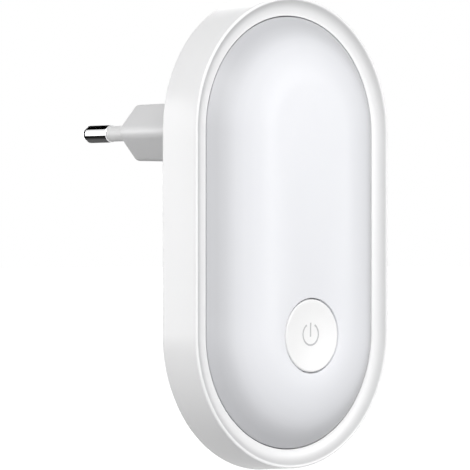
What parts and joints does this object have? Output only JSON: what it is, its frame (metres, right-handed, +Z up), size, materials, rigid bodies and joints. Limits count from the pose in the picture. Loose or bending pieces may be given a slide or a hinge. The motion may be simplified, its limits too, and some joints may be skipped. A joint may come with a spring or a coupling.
{
  "type": "plug-in night light",
  "caption": "Plug-in night light with a racetrack-shaped white housing, a domed opal diffuser, a round push button low on the front and a round-pin mains plug on its back.",
  "frame": {"origin": "middle of the plug body's face, between the two pins, where they leave it", "axes": "+Y along the pins into the wall socket, +Z up the long side, the diffuser and button face -Y"},
  "size_m": [0.0614, 0.0648, 0.1061],
  "materials": {
    "housing_white": "white moulded plastic, semi-gloss",
    "opal_diffuser": "opal white diffuser plastic, satin",
    "button_white": "white moulded plastic, satin",
    "symbol_grey": "grey inlay, matt",
    "reflector_white": "white reflector plastic, matt",
    "led_board_white": "white solder resist on glass-fibre board",
    "led_phosphor": "phosphor-filled light packages",
    "black_moulding": "black moulded plastic and epoxy, matt",
    "cover_white": "white moulded plastic, fine spark texture",
    "plug_white": "white moulded plastic, semi-gloss",
    "nickel_plate": "nickel-plated brass, polished",
    "sleeve_white": "insulating sleeve, satin white",
    "wire_brown": "brown wire insulation",
    "wire_blue": "blue wire insulation",
    "board_green": "green solder resist on glass-fibre board",
    "film_yellow": "yellow capacitor box, satin",
    "can_black": "aluminium can in a dark plastic sleeve",
    "winding_brown": "enamelled copper winding on a ferrite bobbin",
    "resistor_green": "flameproof resistor coating, matt",
    "header_brass": "plated header pins",
    "screw_steel": "zinc-plated screws"
  },
  "bodies": {
    "case": {"front_frame": "housing_white", "diffuser": "opal_diffuser", "button_guide": "reflector_white", "reflector_tray": "reflector_white", "led_board": "led_board_white", "led_packages": "led_phosphor", "switch_case": "black_moulding", "back_cover": "cover_white", "plug_body": "plug_white", "pin_left": "nickel_plate", "pin_right": "nickel_plate", "sleeve_left": "sleeve_white", "sleeve_right": "sleeve_white", "live_wire": "wire_brown", "neutral_wire": "wire_blue", "driver_board": "board_green", "film_capacitor": "film_yellow", "electrolytic_capacitor": "can_black", "power_inductor": "winding_brown", "fusible_resistor": "resistor_green", "bridge_rectifier": "black_moulding", "driver_chip": "black_moulding", "header_block": "black_moulding", "header_pins": "header_brass", "cover_screws": "screw_steel", "board_screws": "screw_steel"},
    "button": {"button_cap": "button_white", "button_symbol": "symbol_grey"},
    "plunger": {"switch_plunger": "black_moulding"}
  },
  "joints": [
    {"name": "button_press", "type": "slide", "parent": "case", "child": "button", "axis": [0, 1, 0], "range_m": [0, 0.0006], "stiffness_N_per_m": 4000, "springref_m": -0.0002},
    {"name": "plunger_press", "type": "slide", "parent": "case", "child": "plunger", "axis": [0, 1, 0], "range_m": [0, 0.0006]}
  ],
  "couplings": [
    {"joint": "plunger_press", "follows": "button_press", "ratio": 1}
  ]
}
